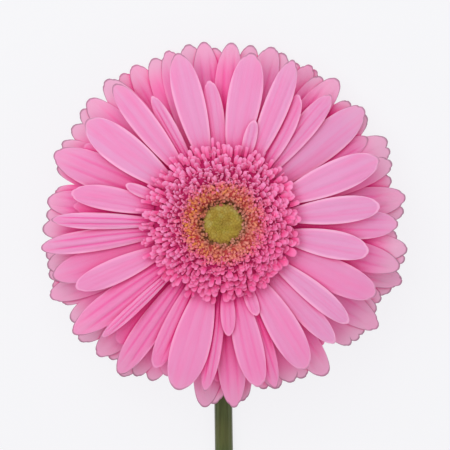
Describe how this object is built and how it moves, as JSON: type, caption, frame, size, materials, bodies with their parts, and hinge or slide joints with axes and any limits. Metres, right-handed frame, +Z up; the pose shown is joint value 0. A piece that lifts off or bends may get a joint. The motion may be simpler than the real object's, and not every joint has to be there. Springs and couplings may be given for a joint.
{
  "type": "cut gerbera",
  "caption": "Cut pink gerbera laid down with its neck bent so the head faces up: whorls of ray florets, a fringe of short florets round a green eye, on a long leafless stem.",
  "frame": {"origin": "on the table, at the middle of the part's bounding box seen from above", "axes": "+Z up from the table; the stem lies along -Y with its cut end at the -Y end; the head is at the +Y end, faces up and leans 18 degrees towards +Y; +X to the right of the head seen from above with the stem running down"},
  "size_m": [0.1156, 0.4311, 0.0517],
  "materials": {
    "ray_pink": "soft satin petal, light pink with fine lengthwise veins",
    "back_ray_pink": "soft satin petal, deeper pink, greyish pink at the tips",
    "trans_pink": "satin, saturated pink with lighter lobes",
    "disc_orange": "matte, orange brown anthers over pink",
    "bud_green": "matte, olive yellow-green packed buds",
    "bract_green": "matte, green with fine down",
    "stem_green": "matte, dark olive green with fine ribs and down"
  },
  "bodies": {
    "root": {"stem": "stem_green", "bracts": "bract_green", "trans_florets": "trans_pink", "disc_florets": "disc_orange", "disc_buds": "bud_green", "short_ray_01": "ray_pink", "short_ray_02": "ray_pink", "short_ray_03": "ray_pink", "short_ray_04": "ray_pink", "front_ray_01": "ray_pink", "front_ray_02": "ray_pink", "front_ray_03": "ray_pink", "front_ray_04": "ray_pink", "front_ray_05": "ray_pink", "front_ray_06": "ray_pink", "front_ray_07": "ray_pink", "front_ray_08": "ray_pink", "front_ray_09": "ray_pink", "front_ray_10": "ray_pink", "front_ray_11": "ray_pink", "front_ray_12": "ray_pink", "front_ray_13": "ray_pink", "front_ray_14": "ray_pink", "front_ray_15": "ray_pink", "front_ray_16": "ray_pink", "front_ray_17": "ray_pink", "front_ray_18": "ray_pink", "front_ray_19": "ray_pink", "front_ray_20": "ray_pink", "front_ray_21": "ray_pink", "front_ray_22": "ray_pink", "front_ray_23": "ray_pink", "front_ray_24": "ray_pink", "front_ray_25": "ray_pink", "front_ray_26": "ray_pink", "front_ray_27": "ray_pink", "front_ray_28": "ray_pink", "front_ray_29": "ray_pink", "front_ray_30": "ray_pink", "front_ray_31": "ray_pink", "front_ray_32": "ray_pink", "front_ray_33": "ray_pink", "back_ray_01": "back_ray_pink", "back_ray_02": "back_ray_pink", "back_ray_03": "back_ray_pink", "back_ray_04": "back_ray_pink", "back_ray_05": "back_ray_pink", "back_ray_06": "back_ray_pink", "back_ray_07": "back_ray_pink", "back_ray_08": "back_ray_pink", "back_ray_09": "back_ray_pink", "back_ray_10": "back_ray_pink", "back_ray_11": "back_ray_pink", "back_ray_12": "back_ray_pink", "back_ray_13": "back_ray_pink", "back_ray_14": "back_ray_pink", "back_ray_15": "back_ray_pink", "back_ray_16": "back_ray_pink", "back_ray_17": "back_ray_pink", "back_ray_18": "back_ray_pink"}
  },
  "joints": []
}
